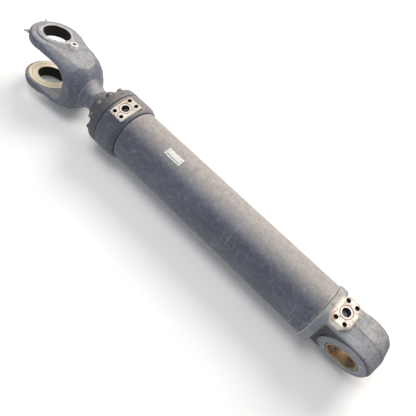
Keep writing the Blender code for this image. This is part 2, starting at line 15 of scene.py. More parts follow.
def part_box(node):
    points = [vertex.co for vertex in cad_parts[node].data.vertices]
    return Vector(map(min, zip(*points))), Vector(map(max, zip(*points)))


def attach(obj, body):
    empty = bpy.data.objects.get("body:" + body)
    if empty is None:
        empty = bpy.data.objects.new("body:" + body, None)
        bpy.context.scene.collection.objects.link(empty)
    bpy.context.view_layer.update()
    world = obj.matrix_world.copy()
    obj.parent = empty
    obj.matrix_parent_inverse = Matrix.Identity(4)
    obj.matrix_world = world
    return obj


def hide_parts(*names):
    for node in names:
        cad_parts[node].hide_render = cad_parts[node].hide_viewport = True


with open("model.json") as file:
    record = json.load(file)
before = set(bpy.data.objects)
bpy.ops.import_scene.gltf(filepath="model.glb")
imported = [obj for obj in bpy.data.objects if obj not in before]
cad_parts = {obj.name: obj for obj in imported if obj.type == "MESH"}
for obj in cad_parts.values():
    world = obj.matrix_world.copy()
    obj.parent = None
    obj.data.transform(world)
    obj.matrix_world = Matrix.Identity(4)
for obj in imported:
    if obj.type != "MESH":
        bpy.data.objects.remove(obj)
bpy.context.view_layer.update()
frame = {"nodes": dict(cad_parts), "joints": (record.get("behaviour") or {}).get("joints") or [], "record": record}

AXIS_Z = next(j for j in frame["joints"] if j["name"] == "rod_turn")["pos_m"][2]
MOUNTS = {m["name"]: m for m in frame["record"]["mounts"]}
BASE_X = MOUNTS["base_eye_face_near"]["pos_m"][0]


def low(node):
    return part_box(node)[0]


def high(node):
    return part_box(node)[1]


def x_at(distance):
    return BASE_X + distance


# Frames -----------------------------------------------------------------------------

AXIS = Matrix.Translation((0, 0, AXIS_Z))
PIN_Y = Vector(MOUNTS["fork_inner_face_upper"]["axis"]).normalized()
PIN_TO_PIN = 1.269
FORK_X = x_at(PIN_TO_PIN)
FORK = Matrix.Translation((FORK_X, 0, AXIS_Z)) @ Matrix(
    (Vector((1, 0, 0)), PIN_Y, Vector((1, 0, 0)).cross(PIN_Y))).transposed().to_4x4()

# Camera -----------------------------------------------------------------------------

CAMERA_PLACE = Vector((BASE_X + 0.27589, 0.50096, AXIS_Z + 1.12397))
CAMERA_RIGHT = Vector((-0.7108, -0.6902, 0.1356))
CAMERA_UP = Vector((0.6710, -0.6075, 0.4250))
CAMERA_LENS = 36.81


def add_camera():
    camera = bpy.data.objects.new("camera", bpy.data.cameras.new("camera"))
    camera.data.lens = CAMERA_LENS
    camera.data.sensor_width = 36.0
    right = CAMERA_RIGHT.normalized()
    up = (CAMERA_UP - right * CAMERA_UP.dot(right)).normalized()
    turn = Matrix((right, up, right.cross(up))).transposed().to_4x4()
    camera.matrix_world = Matrix.Translation(CAMERA_PLACE) @ turn
    bpy.context.scene.collection.objects.link(camera)
    bpy.context.scene.camera = camera
    bpy.context.scene.view_settings.view_transform = "Standard"


# Light and floor --------------------------------------------------------------------


def add_area(name, place, target, size, power, colour):
    light = bpy.data.lights.new(name, "AREA")
    light.energy = power
    light.color = colour
    light.shape = "DISK"
    light.size = size
    item = bpy.data.objects.new(name, light)
    item.location = place
    item.rotation_euler = (Vector(target) - Vector(place)).to_track_quat("-Z", "Y").to_euler()
    bpy.context.scene.collection.objects.link(item)


def add_light_and_floor():
    world = bpy.data.worlds.new("studio")
    world.use_nodes = True
    back = world.node_tree.nodes["Background"]
    back.inputs["Color"].default_value = (1.0, 1.0, 1.0, 1.0)
    nodes, links = world.node_tree.nodes, world.node_tree.links
    seen = nodes.new("ShaderNodeMapRange")
    seen.inputs["To Min"].default_value = 0.42
    seen.inputs["To Max"].default_value = 0.95
    links.new(nodes.new("ShaderNodeLightPath").outputs["Is Camera Ray"], seen.inputs["Value"])
    links.new(seen.outputs["Result"], back.inputs["Strength"])
    bpy.context.scene.world = world
    add_area("key_warm", (-0.2, -2.2, 2.0), (0.0, 0.0, 0.1), 1.8, 84, (1.0, 0.93, 0.86))
    add_area("fill_cool", (0.9, 2.4, 1.2), (0.1, 0.0, 0.1), 2.0, 8, (0.80, 0.89, 1.0))
    add_area("top", (0.3, 0.1, 2.8), (0.1, 0.0, 0.1), 1.2, 30, (1.0, 1.0, 1.0))
    bm = bmesh.new()
    bmesh.ops.create_circle(bm, cap_ends=True, segments=96, radius=9.0)
    mesh = bpy.data.meshes.new("studio_floor")
    bm.to_mesh(mesh)
    bm.free()
    floor = bpy.data.objects.new("studio_floor", mesh)
    floor.location = (0, 0, -0.0005)
    bpy.context.scene.collection.objects.link(floor)
    mesh.materials.append(floor_material())


# Node graphs ------------------------------------------------------------------------


class Graph:
    """A material's nodes, written as one call for each."""

    def __init__(self, name):
        self.material = bpy.data.materials.new(name)
        self.material.use_nodes = True
        self.nodes = self.material.node_tree.nodes
        self.links = self.material.node_tree.links
        self.shader = self.nodes["Principled BSDF"]
        place = self.nodes.new("ShaderNodeTexCoord")
        self.place = place.outputs["Object"]
        self.normal = place.outputs["Normal"]

    def put(self, value, socket):
        if isinstance(value, bpy.types.NodeSocket):
            self.links.new(value, socket)
        elif socket.type == "RGBA" and len(value) == 3:
            socket.default_value = (*value, 1.0)
        else:
            socket.default_value = value

    def maths(self, operation, first, second=0.0, clamp=False):
        node = self.nodes.new("ShaderNodeMath")
        node.operation = operation
        node.use_clamp = clamp
        self.put(first, node.inputs[0])
        self.put(second, node.inputs[1])
        return node.outputs[0]

    def mix(self, factor, first, second):
        node = self.nodes.new("ShaderNodeMix")
        node.data_type = "RGBA"
        self.put(factor, node.inputs["Factor"])
        self.put(first, node.inputs["A"])
        self.put(second, node.inputs["B"])
        return node.outputs["Result"]

    def step(self, value, start, end, first=0.0, last=1.0):
        node = self.nodes.new("ShaderNodeMapRange")
        node.interpolation_type = "SMOOTHSTEP"
        self.put(value, node.inputs["Value"])
        for name, number in (("From Min", start), ("From Max", end), ("To Min", first), ("To Max", last)):
            node.inputs[name].default_value = number
        return node.outputs["Result"]

    def stretch(self, scale, turn=(0, 0, 0)):
        node = self.nodes.new("ShaderNodeMapping")
        self.put(self.place, node.inputs["Vector"])
        node.inputs["Rotation"].default_value = turn
        node.inputs["Scale"].default_value = scale
        return node.outputs["Vector"]

    def noise(self, scale, detail=3.0, rough=0.55, vector=None, warp=0.0):
        node = self.nodes.new("ShaderNodeTexNoise")
        self.put(vector or self.place, node.inputs["Vector"])
        node.inputs["Scale"].default_value = scale
        node.inputs["Detail"].default_value = detail
        node.inputs["Roughness"].default_value = rough
        node.inputs["Distortion"].default_value = warp
        return node.outputs["Fac"]

    def facing(self, direction, vector=None):
        node = self.nodes.new("ShaderNodeVectorMath")
        node.operation = "DOT_PRODUCT"
        self.put(vector or self.normal, node.inputs[0])
        node.inputs[1].default_value = Vector(direction)
        return node.outputs["Value"]

    def convexity(self):
        return self.nodes.new("ShaderNodeNewGeometry").outputs["Pointiness"]

    def finish(self, colour, roughness, height=None, relief=0.0002, metallic=0.0, strength=1.0):
        self.put(colour, self.shader.inputs["Base Color"])
        self.put(roughness, self.shader.inputs["Roughness"])
        self.put(metallic, self.shader.inputs["Metallic"])
        if height is not None:
            bump = self.nodes.new("ShaderNodeBump")
            bump.inputs["Strength"].default_value = strength
            bump.inputs["Distance"].default_value = relief
            self.put(height, bump.inputs["Height"])
            self.put(bump.outputs["Normal"], self.shader.inputs["Normal"])
        return self.material


# Materials --------------------------------------------------------------------------

# Dust colours; they also paint the light that falls on the faces turned up and away.
WARM_DUST_AND_LIGHT = (0.37, 0.335, 0.30)
GREY_DUST_AND_LIGHT = (0.38, 0.37, 0.37)
UP_AND_AWAY = (0.0, -0.80, 0.60)
UP = (0.0, -0.36, 0.93)


def paint_material(name, light, dark, dust_and_light_amount, cast, dust_and_light_colour=WARM_DUST_AND_LIGHT, side=UP_AND_AWAY, start=0.05,
                   regions=None):
    """Worn grey-blue machine paint, with dust and painted light on the faces turned toward `side`. `cast` is 0 on
    a turned tube and 1 on a rough forging.
    """
    g = Graph(name)
    patches = g.noise(6.0, 4.0, 0.6, warp=0.4)
    colour = g.mix(g.step(patches, 0.35, 0.68), dark, light)
    mottling = g.noise(85.0, 6.0, 0.70)
    colour = g.mix(g.step(mottling, 0.50, 0.70, 0.0, 0.42), colour, tuple(c * 2.1 for c in light))
    colour = g.mix(g.step(mottling, 0.30, 0.46, 0.45, 0.0), colour, tuple(c * 0.62 for c in dark))
    # Dust and painted light: faces turned toward `side` take the dust colour in clouds, which also stands in for
    # the light on them.
    facing = g.step(g.facing(side), start, 1.0)
    cloud = g.step(g.noise(60.0, 7.0, 0.74, warp=0.5), 0.32, 0.64, 0.60 - 0.25 * cast, 1.0)
    dust_and_light_mask = g.maths("MULTIPLY", g.maths("MULTIPLY", facing, cloud), dust_and_light_amount, clamp=True)
    colour = g.mix(dust_and_light_mask, colour, dust_and_light_colour)
    if regions:
        colour = regions(g, colour)
    hoops = g.noise(1.0, 2.0, 0.5, g.stretch((520, 7, 7)))
    slants = g.noise(1.0, 2.0, 0.5, g.stretch((10, 300, 190), (0.3, 0.5, 0.7)))
    streaks = g.noise(1.0, 2.0, 0.5, g.stretch((6, 420, 420), (0.0, 0.04, 0.06)))
    patchy = g.step(g.noise(8.0, 3.0), 0.44, 0.66)
    marks = g.maths("MAXIMUM", g.step(hoops, 0.63, 0.70), g.step(slants, 0.66, 0.72))
    marks = g.maths("MAXIMUM", marks, g.step(streaks, 0.67, 0.72))
    marks = g.maths("MULTIPLY", g.maths("MULTIPLY", marks, patchy), 0.50)
    colour = g.mix(marks, colour, (0.50, 0.50, 0.51))
    specks = g.step(g.noise(230.0, 3.0, 0.6), 0.64, 0.72)
    specks = g.maths("MULTIPLY", specks, g.step(g.noise(11.0, 2.0), 0.42, 0.62, 0.12, 0.80))
    colour = g.mix(specks, colour, (0.62, 0.61, 0.59))
    chips = g.step(g.noise(52.0, 5.0, 0.74, warp=0.6), 0.690, 0.715)
    chips = g.maths("MULTIPLY", chips, g.step(g.noise(4.0, 2.0), 0.40, 0.55, 0.40, 0.95))
    colour = g.mix(chips, colour, (0.66, 0.67, 0.68))
    pits = g.step(g.noise(120.0, 5.0, 0.72), 0.31, 0.39, 0.70, 0.0)
    colour = g.mix(pits, colour, (0.035, 0.035, 0.040))
    wear = g.step(g.convexity(), 0.53, 0.59, 0.0, 0.75)
    wear = g.maths("MULTIPLY", wear, g.step(g.noise(70.0, 4.0), 0.36, 0.58, 0.15, 1.0))
    colour = g.mix(wear, colour, (0.54, 0.53, 0.51))
    # Painted shade: concave creases, where the convexity is low, are darkened nearly to black.
    painted_crease_shade = g.step(g.convexity(), 0.40, 0.475, 0.80, 0.0)
    colour = g.mix(painted_crease_shade, colour, (0.035, 0.034, 0.034))
    roughness = g.step(patches, 0.3, 0.7, 0.40 + 0.08 * cast, 0.55 + 0.08 * cast)
    roughness = g.maths("ADD", roughness, g.maths("MULTIPLY", dust_and_light_mask, 0.25), clamp=True)
    grain = g.maths("MULTIPLY", g.noise(190.0, 5.0, 0.65), 0.40 + 0.80 * cast)
    swell = g.maths("MULTIPLY", g.noise(45.0, 3.0), 0.5)
    height = g.maths("ADD", grain, swell)
    height = g.maths("SUBTRACT", height, g.maths("MULTIPLY", chips, 0.6))
    return g.finish(colour, roughness, height, 0.0003 + 0.0007 * cast)


def base_regions(g, colour):
    """The base forging's bands across its width: a painted lighter half, a parting line, painted shade on the flat
    sides, pale bosses, and a pale front edge of wear and painted highlight.
    """
    split = g.nodes.new("ShaderNodeSeparateXYZ")
    g.put(g.place, split.inputs[0])
    wander = g.maths("MULTIPLY", g.noise(14.0, 3.0), 0.004)
    across = g.maths("ADD", split.outputs["Y"], wander)
    upward = g.step(g.facing((0, 0, 1)), 0.25, 0.75)
    # Painted light: the upward faces of the +Y half of the eye are lightened, for the light falling on the drafted
    # halves.
    painted_light_half = g.maths("MULTIPLY", g.step(across, 0.004, 0.008, 0.0, 0.45), upward)
    colour = g.mix(painted_light_half, colour, (0.25, 0.27, 0.31))
    line = g.step(g.maths("ABSOLUTE", g.maths("SUBTRACT", across, 0.0055)), 0.0004, 0.0016, 0.75, 0.0)
    colour = g.mix(g.maths("MULTIPLY", line, upward), colour, (0.055, 0.052, 0.055))
    width = g.maths("ABSOLUTE", split.outputs["Y"])
    sideways = g.step(g.maths("ABSOLUTE", g.facing((0, 1, 0))), 0.75, 0.95)
    # Painted shade: the eye's flat sides, between the boss and the rim, are darkened nearly to black.
    inner = g.maths("MULTIPLY", g.step(width, 0.0540, 0.0546, 0.80, 0.0), sideways)
    colour = g.mix(inner, colour, (0.032, 0.033, 0.037))
    boss = g.maths("MULTIPLY", g.step(width, 0.0552, 0.0560, 0.0, 0.65), sideways)
    colour = g.mix(boss, colour, (0.27, 0.29, 0.33))
    # A pale band along the cap's front edge: edge wear and a painted highlight.
    front = g.maths("ABSOLUTE", g.maths("SUBTRACT", split.outputs["X"], high("base_cap").x - 0.0004))
    return g.mix(g.step(front, 0.0006, 0.0014, 0.80, 0.0), colour, (0.62, 0.59, 0.53))


def port_material():
    """Bare milled steel with rust in patches, darker where paint was masked off."""
    g = Graph("port_steel")
    milling = g.noise(1.0, 2.0, 0.5, g.stretch((900, 60, 60), (0, 0, 0.8)))
    colour = g.mix(g.step(milling, 0.3, 0.7), (0.56, 0.53, 0.48), (0.80, 0.77, 0.71))
    rust = g.step(g.noise(34.0, 6.0, 0.7, warp=0.8), 0.50, 0.62)
    stain = g.step(g.noise(19.0, 4.0, 0.6), 0.50, 0.64)
    colour = g.mix(g.maths("MULTIPLY", stain, 0.50), colour, (0.56, 0.41, 0.30))
    colour = g.mix(g.maths("MULTIPLY", rust, 0.75), colour, (0.27, 0.135, 0.075))
    edge = g.step(g.convexity(), 0.52, 0.58, 0.0, 0.6)
    colour = g.mix(edge, colour, (0.85, 0.83, 0.78))
    metallic = g.maths("SUBTRACT", 0.55, g.maths("MULTIPLY", rust, 0.45), clamp=True)
    roughness = g.step(g.noise(60.0, 3.0), 0.3, 0.7, 0.42, 0.62)
    return g.finish(colour, roughness, g.noise(260.0, 3.0), 0.00025, metallic)


def fork_ring_material():
    """The fork's bare inner ring: cream steel with rubbed circles, orange rust near the bore, and painted shade on
    the bore wall.
    """
    g = Graph("fork_ring_steel")
    centre = g.nodes.new("ShaderNodeVectorMath")
    centre.operation = "SUBTRACT"
    g.put(g.place, centre.inputs[0])
    centre.inputs[1].default_value = FORK.translation
    across = g.facing(FORK.col[2].xyz, centre.outputs[0])
    along = g.facing((1, 0, 0), centre.outputs[0])
    squares = g.maths("ADD", g.maths("MULTIPLY", across, across), g.maths("MULTIPLY", along, along))
    radius = g.maths("SQRT", squares)
    wobble = g.maths("MULTIPLY", g.noise(20.0, 3.0), 0.006)
    circles = g.maths("SINE", g.maths("MULTIPLY", g.maths("ADD", radius, wobble), 1900.0))
    colour = g.mix(g.step(circles, -0.2, 1.0, 0.0, 0.55), (0.92, 0.83, 0.66), (0.74, 0.61, 0.42))
    rust = g.step(g.noise(26.0, 6.0, 0.7, warp=0.6), 0.42, 0.68)
    near = g.step(g.maths("ADD", radius, wobble), 0.0430, 0.0620, 0.85, 0.15)
    colour = g.mix(g.maths("MULTIPLY", rust, near), colour, (0.80, 0.50, 0.22))
    groove = g.step(g.maths("ABSOLUTE", g.maths("SUBTRACT", radius, 0.0605)), 0.0004, 0.0016, 0.7, 0.0)
    colour = g.mix(groove, colour, (0.20, 0.14, 0.09))
    # Painted shade: the bore wall inside the pin radius is near-black.
    bore = g.step(radius, 0.0430, 0.0436, 1.0, 0.0)
    colour = g.mix(bore, colour, (0.010, 0.009, 0.008))
    roughness = g.maths("MAXIMUM", g.step(g.noise(80.0, 3.0), 0.3, 0.7, 0.40, 0.60), bore)
    metallic = g.step(radius, 0.0430, 0.0436, 0.0, 0.20)
    return g.finish(colour, roughness, g.maths("ADD", circles, g.noise(300.0, 3.0)), 0.00012, metallic)


def steel_material(name, colour, roughness, grain=(500, 60, 60), metallic=0.9, rusty=0.3):
    g = Graph(name)
    lines = g.noise(1.0, 2.0, 0.5, g.stretch(grain))
    bright = g.mix(g.step(lines, 0.3, 0.7), tuple(c * 0.75 for c in colour), colour)
    rust = g.maths("MULTIPLY", g.step(g.noise(60.0, 5.0, 0.7), 0.50, 0.66), rusty)
    tone = g.mix(rust, bright, (0.24, 0.14, 0.085))
    shine = g.step(lines, 0.3, 0.7, roughness - 0.05, roughness + 0.10)
    return g.finish(tone, shine, lines, 0.00008, g.maths("SUBTRACT", metallic, rust, clamp=True))


def rod_material():
    """Ground hard chrome, with paint overspray and dust on the neck that never enters the gland."""
    g = Graph("rod_chrome_worn")
    lines = g.noise(1.0, 2.0, 0.5, g.stretch((900, 20, 20)))
    colour = g.mix(g.step(lines, 0.3, 0.7), (0.60, 0.60, 0.62), (0.74, 0.74, 0.76))
    split = g.nodes.new("ShaderNodeSeparateXYZ")
    g.put(g.place, split.inputs[0])
    ragged = g.maths("ADD", split.outputs["X"], g.maths("MULTIPLY", g.noise(70.0, 4.0), 0.006))
    start = high("gland").x + 0.0025
    painted = g.step(ragged, start, start + 0.0012)
    grime = g.mix(g.step(g.noise(90.0, 5.0, 0.65), 0.35, 0.65), (0.075, 0.078, 0.092), (0.20, 0.19, 0.18))
    colour = g.mix(painted, colour, grime)
    roughness = g.maths("ADD", g.maths("MULTIPLY", painted, 0.42), g.step(lines, 0.3, 0.7, 0.10, 0.18))
    height = g.maths("MULTIPLY", painted, g.noise(240.0, 4.0))
    metallic = g.maths("SUBTRACT", 1.0, painted, clamp=True)
    return g.finish(colour, roughness, height, 0.0004, metallic)


def bronze_material():
    """Oiled bronze with orange rust bloom and dark worn areas, and faint turning lines."""
    g = Graph("bushing_bronze")
    turning = g.noise(1.0, 2.0, 0.5, g.stretch((40, 700, 40)))
    cloud = g.step(g.noise(30.0, 5.0, 0.65, warp=0.7), 0.35, 0.65)
    colour = g.mix(cloud, (0.56, 0.37, 0.18), (0.27, 0.20, 0.13))
    soot = g.step(g.noise(18.0, 6.0, 0.7, warp=0.8), 0.50, 0.62, 0.0, 0.85)
    colour = g.mix(soot, colour, (0.10, 0.055, 0.030))
    pale = g.step(g.noise(70.0, 6.0, 0.74), 0.42, 0.62, 0.0, 0.85)
    colour = g.mix(pale, colour, (0.40, 0.36, 0.29))
    roughness = g.step(g.noise(50.0, 3.0), 0.3, 0.7, 0.30, 0.60)
    return g.finish(colour, roughness, turning, 0.0001, g.maths("SUBTRACT", 0.85, soot, clamp=True))


def rubber_material():
    g = Graph("seal_rubber_worn")
    colour = g.mix(g.step(g.noise(80.0, 4.0), 0.4, 0.7), (0.016, 0.016, 0.017), (0.050, 0.047, 0.044))
    return g.finish(colour, g.step(g.noise(120.0, 3.0), 0.3, 0.7, 0.45, 0.70), g.noise(500.0, 2.0), 0.0001)


def plastic_material():
    g = Graph("seal_plastic_filled")
    colour = g.mix(g.step(g.noise(150.0, 4.0), 0.4, 0.7), (0.24, 0.12, 0.055), (0.36, 0.20, 0.10))
    return g.finish(colour, g.step(g.noise(90.0, 2.0), 0.3, 0.7, 0.42, 0.58), g.noise(400.0, 2.0), 0.00008)


def floor_material():
    g = Graph("studio_floor_white")
    colour = g.mix(g.step(g.noise(0.6, 2.0), 0.3, 0.7), (0.90, 0.90, 0.90), (0.93, 0.93, 0.93))
    return g.finish(colour, 0.9)


def make_materials():
    light, dark = (0.090, 0.104, 0.140), (0.058, 0.067, 0.092)
    blue, deep = (0.098, 0.112, 0.150), (0.066, 0.075, 0.102)
    return {
        "tube": paint_material("barrel_paint", light, dark, 0.90, 0.0),
        "flange": paint_material("flange_paint", (0.066, 0.074, 0.100), (0.048, 0.054, 0.073), 0.46, 0.1),
        "base": paint_material("base_paint", (0.110, 0.120, 0.146), (0.062, 0.069, 0.088), 0.98, 1.0,
                               GREY_DUST_AND_LIGHT, (0.0, -0.30, 0.95), 0.52, base_regions),
        "cast": paint_material("fork_paint", blue, deep, 0.80, 0.6, GREY_DUST_AND_LIGHT, UP, 0.62),
        "gland": paint_material("gland_paint", (0.058, 0.061, 0.072), (0.034, 0.036, 0.045), 0.56, 1.0),
        "bolt": paint_material("bolt_paint", (0.100, 0.100, 0.104), (0.040, 0.041, 0.046), 0.55, 0.6),
        "port": port_material(),
        "bright": steel_material("bright_steel", (0.86, 0.84, 0.80), 0.42, (400, 60, 60), 0.35, 0.15),
        "rust": steel_material("rusted_edge", (0.52, 0.34, 0.24), 0.65, (300, 60, 60), 0.15, 0.75),
        "ring": fork_ring_material(),
        "steel": steel_material("machined_steel_worn", (0.66, 0.62, 0.55), 0.38),
        "zinc": steel_material("nipple_steel", (0.42, 0.40, 0.38), 0.45, metallic=0.5, rusty=0.25),
        "chrome": rod_material(),
        "iron": steel_material("piston_iron", (0.26, 0.26, 0.27), 0.45, (600, 40, 40), 0.9, 0.1),
        "plate": steel_material("plate_aluminium", (0.80, 0.80, 0.78), 0.50, (80, 900, 80), 0.1, 0.0),
        # Near-black steel for holes, seats and pockets: painted shade inside them.
        "hole": steel_material("port_hole_steel", (0.040, 0.046, 0.056), 0.40, (60, 60, 900), 0.3, 0.1),
        "dark": steel_material("plate_print", (0.10, 0.11, 0.12), 0.50, (80, 400, 80), 0.1, 0.0),
        "bronze": bronze_material(),
        "rubber": rubber_material(),
        "plastic": plastic_material(),
    }


# Mesh tools -------------------------------------------------------------------------


def arc(centre, radius, first, last, steps):
    angles = [math.radians(first + (last - first) * i / steps) for i in range(steps + 1)]
    return [(centre[0] + radius * math.cos(a), centre[1] + radius * math.sin(a)) for a in angles]


def fillet(points, steps=5):
    """Round each (u, v, radius) corner of an outline; a corner with no radius stays sharp."""
    made = []
    count = len(points)
    for i, point in enumerate(points):
        here = Vector(point[:2])
        size = point[2] if len(point) > 2 else 0.0
        if size <= 0.0:
            made.append(tuple(here))
            continue
        before = Vector(points[i - 1][:2]) - here
        after = Vector(points[(i + 1) % count][:2]) - here
        half = before.angle(after) / 2
        reach = min(size / math.tan(half), 0.49 * before.length, 0.49 * after.length)
        start = here + before.normalized() * reach
        end = here + after.normalized() * reach
        for k in range(steps + 1):
            t = k / steps
            made.append(tuple(start * (1 - t) ** 2 + here * 2 * t * (1 - t) + end * t ** 2))
    return made


def mesh_from(name, bm, sharp=40):
    bmesh.ops.recalc_face_normals(bm, faces=bm.faces)
    mesh = bpy.data.meshes.new(name)
    bm.to_mesh(mesh)
    bm.free()
    mesh.shade_smooth()
    mesh.set_sharp_from_angle(angle=math.radians(sharp))
    return mesh


def turned(name, profile, segments, matrix=AXIS, axis="X"):
    """Spin a closed outline of (distance along the axis, radius) points around the axis."""
    bm = bmesh.new()
    rings = []
    for k in range(segments):
        angle = 2 * math.pi * k / segments
        c, s = math.cos(angle), math.sin(angle)
        if axis == "X":
            rings.append([bm.verts.new((a, r * s, r * c)) for a, r in profile])
        else:
            rings.append([bm.verts.new((r * c, a, r * s)) for a, r in profile])
    count = len(profile)
    for k in range(segments):
        first, second = rings[k], rings[(k + 1) % segments]
        for i in range(count):
            j = (i + 1) % count
            if profile[i][1] < 1e-9 and profile[j][1] < 1e-9:
                continue
            bm.faces.new((first[i], first[j], second[j], second[i]))
    bmesh.ops.remove_doubles(bm, verts=bm.verts, dist=1e-7)
    mesh = mesh_from(name, bm)
    mesh.transform(matrix)
    return mesh


def extruded(name, outline, start, end, matrix, axis="Z"):
    bm = bmesh.new()
    place = {"Z": lambda u, v, d: (u, v, d), "Y": lambda u, v, d: (u, d, v)}[axis]
    face = bm.faces.new([bm.verts.new(place(u, v, start)) for u, v in outline])
    made = bmesh.ops.extrude_face_region(bm, geom=[face])
    moved = [v for v in made["geom"] if isinstance(v, bmesh.types.BMVert)]
    bmesh.ops.translate(bm, verts=moved, vec=Vector(place(0, 0, end - start)))
    mesh = mesh_from(name, bm)
    mesh.transform(matrix)
    return mesh


def piece(name, mesh, material, body, nodes=()):
    item = bpy.data.objects.new(name, mesh)
    bpy.context.scene.collection.objects.link(item)
    if not any(mesh.materials):
        mesh.materials.clear()
        mesh.materials.append(material)
    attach(item, body)
    for node in nodes:
        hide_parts(node)
    return item


def loose(mesh):
    item = bpy.data.objects.new(mesh.name, mesh)
    bpy.context.scene.collection.objects.link(item)
    return item


def baked(item):
    """The object's mesh with its modifiers applied; the object itself is removed."""
    bpy.context.view_layer.update()
    graph = bpy.context.evaluated_depsgraph_get()
    mesh = bpy.data.meshes.new_from_object(item.evaluated_get(graph))
    bpy.data.objects.remove(item)
    return mesh


def boolean(mesh, tools, operation, solver="MANIFOLD"):
    """Cut or join several closed meshes; faces cut by a tool take the tool's material."""
    item = loose(mesh)
    helpers = [loose(tool) for tool in tools]
    for helper in helpers:
        change = item.modifiers.new("cut", "BOOLEAN")
        change.operation = operation
        change.solver = solver
        change.object = helper
        if solver == "EXACT":
            change.material_mode = "TRANSFER"
    made = baked(item)
    for helper in helpers:
        bpy.data.objects.remove(helper)
    return made


def melted(mesh, voxel, rounds, factor=0.5):
    """Voxel remesh a rough shape and smooth it, which turns its inner corners into fillets."""
    item = loose(mesh)
    remesh = item.modifiers.new("remesh", "REMESH")
    remesh.mode = "VOXEL"
    remesh.voxel_size = voxel
    smooth = item.modifiers.new("smooth", "SMOOTH")
    smooth.factor = factor
    smooth.iterations = rounds
    made = baked(item)
    made.materials.clear()
    return made


def roughen(mesh, coarse, fine):
    """Push each vertex a little along its normal, as a forging's skin is."""
    normals = [v.normal.copy() for v in mesh.vertices]
    for vertex, normal in zip(mesh.vertices, normals):
        push = coarse * noise.noise(vertex.co * 45.0) + fine * noise.noise(vertex.co * 170.0)
        vertex.co += normal * push
    return mesh


def resharpen(mesh, angle=38):
    mesh.shade_smooth()
    mesh.set_sharp_from_angle(angle=math.radians(angle))
    return mesh


def rod(name, start, end, radius, matrix, segments=48):
    start, end = Vector(start), Vector(end)
    bm = bmesh.new()
    turn = (end - start).to_track_quat("Z", "Y").to_matrix().to_4x4()
    bmesh.ops.create_cone(bm, cap_ends=True, segments=segments, radius1=radius, radius2=radius,
                          depth=(end - start).length, matrix=Matrix.Translation((start + end) / 2) @ turn)
    mesh = mesh_from(name, bm)
    mesh.transform(matrix)
    return mesh


# Barrel -----------------------------------------------------------------------------

TUBE_R = (high("barrel_tube").z - low("barrel_tube").z) / 2
BORE_R = 0.070
FLANGE_R = (high("gland").z - low("gland").z) / 2
RING_R = 0.090
CLEAR = 0.0002
PORT_BORE_R = 0.0125
PORT_BOLT_X, PORT_BOLT_Y = 0.01388, 0.028575
GROOVE_INNER, GROOVE_OUTER = 0.0165, 0.0195
GLAND_SEAM, GLAND_FACE = 0.944, 0.976
BOLT_COUNT, BOLT_CIRCLE, BOLT_START = 12, 0.080, math.radians(-3.0)


def make_tube(m):
    start, end = low("barrel_tube").x, high("barrel_tube").x
    lip = 0.0025
    profile = [(start, BORE_R), (start, TUBE_R - lip), (start + lip, TUBE_R)]
    spans = 40
    profile += [(start + lip + (end - start - 2 * lip) * k / spans, TUBE_R) for k in range(1, spans)]
    profile += [(end - lip, TUBE_R), (end, TUBE_R - lip), (end, BORE_R)]
    mesh = turned("barrel_tube_skin", profile, 192)
    piece("barrel_tube_skin", mesh, m["tube"], "barrel", ["barrel_tube"])


def port_outline(node, centre_x, chamfer, rounded):
    lo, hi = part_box(node)
    x, y = (hi.x - lo.x) / 2, (hi.y - lo.y) / 2
    if rounded:
        corners = [(x, -y, chamfer), (x, y, chamfer), (-x, y, chamfer), (-x, -y, chamfer)]
        return [(centre_x + u, v) for u, v in fillet(corners, 8)]
    corners = [(x - chamfer, -y), (x, -y + chamfer), (x, y - chamfer), (x - chamfer, y),
               (-x + chamfer, y), (-x, y - chamfer), (-x, -y + chamfer), (-x + chamfer, -y)]
    return [(centre_x + u, v) for u, v in fillet([(u, v, 0.004) for u, v in corners], 4)]


def shrunk(outline, amount, centre_x):
    """Move an outline's points towards its middle by a fixed distance."""
    made = []
    for u, v in outline:
        reach = math.hypot(u - centre_x, v)
        share = (reach - amount) / reach
        made.append((centre_x + (u - centre_x) * share, v * share))
    return made


